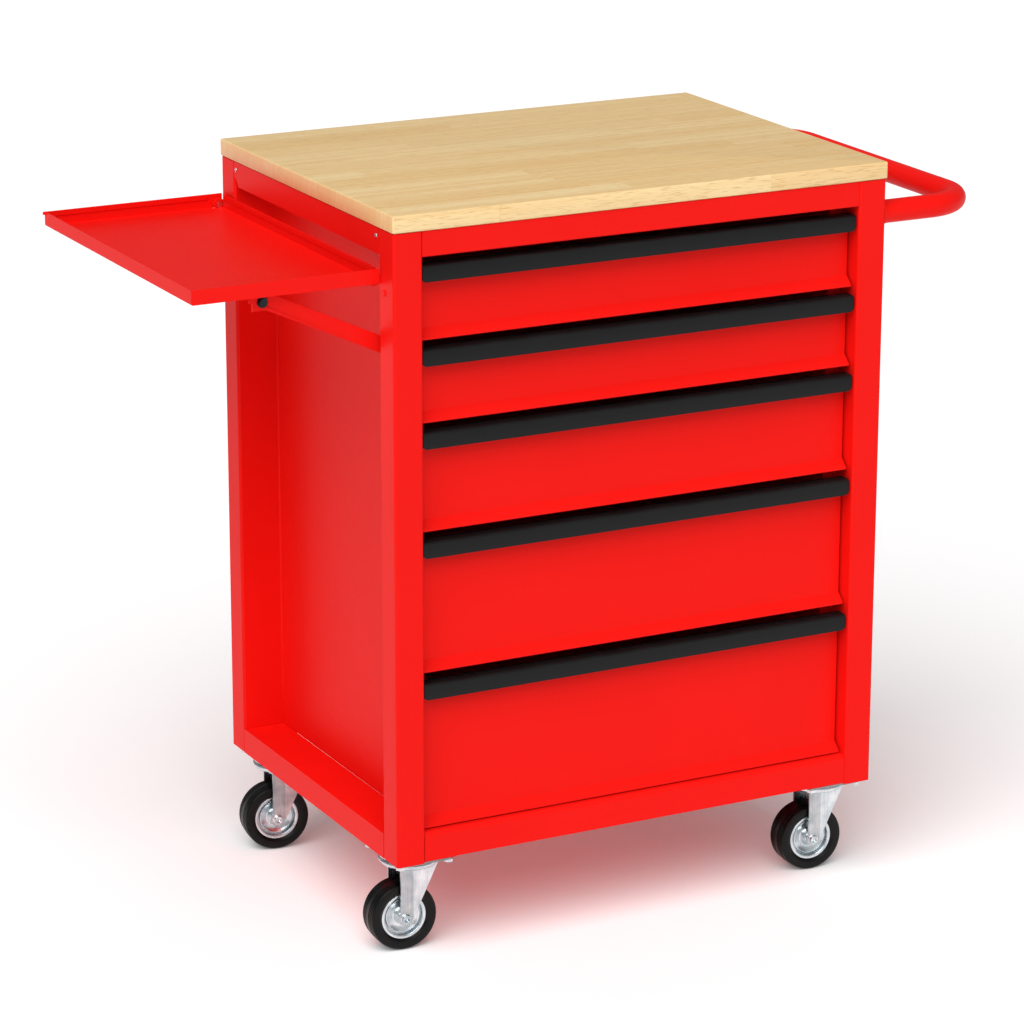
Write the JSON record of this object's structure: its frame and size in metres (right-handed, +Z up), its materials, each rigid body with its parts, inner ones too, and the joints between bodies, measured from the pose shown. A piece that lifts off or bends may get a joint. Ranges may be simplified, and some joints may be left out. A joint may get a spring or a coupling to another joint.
{
  "type": "rolling tool chest",
  "caption": "Steel tool cabinet on swivel casters with stacked inset drawers, wooden worktop, fold-down side tray and tubular push handle.",
  "frame": {"origin": "centre of the footprint of the whole object, tray and handle included, at floor level", "axes": "+X from the tray side to the handle side along the drawer fronts, +Y from the drawer fronts to the back panel, +Z up"},
  "size_m": [0.9889, 0.46, 0.863],
  "materials": {
    "red_coat": "semi-gloss powder coat",
    "beech": "clear satin oil on glued staves",
    "grip_plastic": "fine-grained matte moulding",
    "zinc_steel": "bright zinc plating",
    "tyre_rubber": "matte moulded rubber"
  },
  "bodies": {
    "cabinet": {"post_front_left": "red_coat", "post_front_right": "red_coat", "post_rear_left": "red_coat", "post_rear_right": "red_coat", "top_rail_front": "red_coat", "top_rail_left": "red_coat", "top_rail_right": "red_coat", "base_rail_front": "red_coat", "base_rail_left": "red_coat", "base_rail_right": "red_coat", "side_panel_left": "red_coat", "side_panel_right": "red_coat", "rear_panel": "red_coat", "base_panel": "red_coat", "worktop": "beech", "runners_left": "zinc_steel", "runners_right": "zinc_steel", "push_handle": "red_coat", "handle_flanges": "red_coat", "post_rivets": "red_coat", "rail_screws": "zinc_steel", "hinge_lugs": "red_coat", "strut_pivots": "zinc_steel", "caster_plates": "zinc_steel", "plate_bolts": "zinc_steel"},
    "tray": {"side_tray": "red_coat", "tray_hinge_pins": "zinc_steel", "tray_bolts": "zinc_steel"},
    "struts": {"tray_struts": "red_coat"},
    "drawer_1": {"drawer_box_1": "red_coat", "drawer_front_1": "red_coat", "drawer_grip_1": "grip_plastic"},
    "drawer_2": {"drawer_box_2": "red_coat", "drawer_front_2": "red_coat", "drawer_grip_2": "grip_plastic"},
    "drawer_3": {"drawer_box_3": "red_coat", "drawer_front_3": "red_coat", "drawer_grip_3": "grip_plastic"},
    "drawer_4": {"drawer_box_4": "red_coat", "drawer_front_4": "red_coat", "drawer_grip_4": "grip_plastic"},
    "drawer_5": {"drawer_box_5": "red_coat", "drawer_front_5": "red_coat", "drawer_grip_5": "grip_plastic"},
    "caster_front_left": {"caster_fork_front_left": "zinc_steel", "caster_axle_front_left": "zinc_steel"},
    "wheel_front_left": {"wheel_rim_front_left": "zinc_steel", "wheel_tyre_front_left": "tyre_rubber"},
    "caster_front_right": {"caster_fork_front_right": "zinc_steel", "caster_axle_front_right": "zinc_steel"},
    "wheel_front_right": {"wheel_rim_front_right": "zinc_steel", "wheel_tyre_front_right": "tyre_rubber"},
    "caster_rear_left": {"caster_fork_rear_left": "zinc_steel", "caster_axle_rear_left": "zinc_steel"},
    "wheel_rear_left": {"wheel_rim_rear_left": "zinc_steel", "wheel_tyre_rear_left": "tyre_rubber"},
    "caster_rear_right": {"caster_fork_rear_right": "zinc_steel", "caster_axle_rear_right": "zinc_steel"},
    "wheel_rear_right": {"wheel_rim_rear_right": "zinc_steel", "wheel_tyre_rear_right": "tyre_rubber"}
  },
  "joints": [
    {"name": "drawer_1_slide", "type": "slide", "parent": "cabinet", "child": "drawer_1", "axis": [0, -1, 0], "range_m": [0, 0.3]},
    {"name": "drawer_2_slide", "type": "slide", "parent": "cabinet", "child": "drawer_2", "axis": [0, -1, 0], "range_m": [0, 0.3]},
    {"name": "drawer_3_slide", "type": "slide", "parent": "cabinet", "child": "drawer_3", "axis": [0, -1, 0], "range_m": [0, 0.3]},
    {"name": "drawer_4_slide", "type": "slide", "parent": "cabinet", "child": "drawer_4", "axis": [0, -1, 0], "range_m": [0, 0.3]},
    {"name": "drawer_5_slide", "type": "slide", "parent": "cabinet", "child": "drawer_5", "axis": [0, -1, 0], "range_m": [0, 0.3]},
    {"name": "tray_fold", "type": "hinge", "parent": "cabinet", "child": "tray", "pos_m": [-0.27805, 0, 0.7875], "axis": [0, -1, 0], "range_deg": [0, 90]},
    {"name": "strut_fold", "type": "hinge", "parent": "cabinet", "child": "struts", "pos_m": [-0.24505, 0, 0.7022], "axis": [0, -1, 0], "range_deg": [0, 115.5]},
    {"name": "swivel_front_left", "type": "hinge", "parent": "cabinet", "child": "caster_front_left", "pos_m": [-0.23005, -0.174, 0.105], "axis": [0, 0, 1], "continuous": true},
    {"name": "spin_front_left", "type": "hinge", "parent": "caster_front_left", "child": "wheel_front_left", "pos_m": [-0.24202, -0.17316, 0.04], "axis": [0.0698, 0.9976, 0], "continuous": true},
    {"name": "swivel_front_right", "type": "hinge", "parent": "cabinet", "child": "caster_front_right", "pos_m": [0.30795, -0.174, 0.105], "axis": [0, 0, 1], "continuous": true},
    {"name": "spin_front_right", "type": "hinge", "parent": "caster_front_right", "child": "wheel_front_right", "pos_m": [0.29597, -0.17337, 0.04], "axis": [0.0523, 0.9986, 0], "continuous": true},
    {"name": "swivel_rear_left", "type": "hinge", "parent": "cabinet", "child": "caster_rear_left", "pos_m": [-0.23005, 0.174, 0.105], "axis": [0, 0, 1], "continuous": true},
    {"name": "spin_rear_left", "type": "hinge", "parent": "caster_rear_left", "child": "wheel_rear_left", "pos_m": [-0.24193, 0.17567, 0.04], "axis": [0.1392, 0.9903, 0], "continuous": true},
    {"name": "swivel_rear_right", "type": "hinge", "parent": "cabinet", "child": "caster_rear_right", "pos_m": [0.30795, 0.174, 0.105], "axis": [0, 0, 1], "continuous": true},
    {"name": "spin_rear_right", "type": "hinge", "parent": "caster_rear_right", "child": "wheel_rear_right", "pos_m": [0.29602, 0.17525, 0.04], "axis": [0.1045, 0.9945, 0], "continuous": true}
  ],
  "couplings": [
    {"joint": "strut_fold", "follows": "tray_fold", "ratio": 1.28}
  ]
}
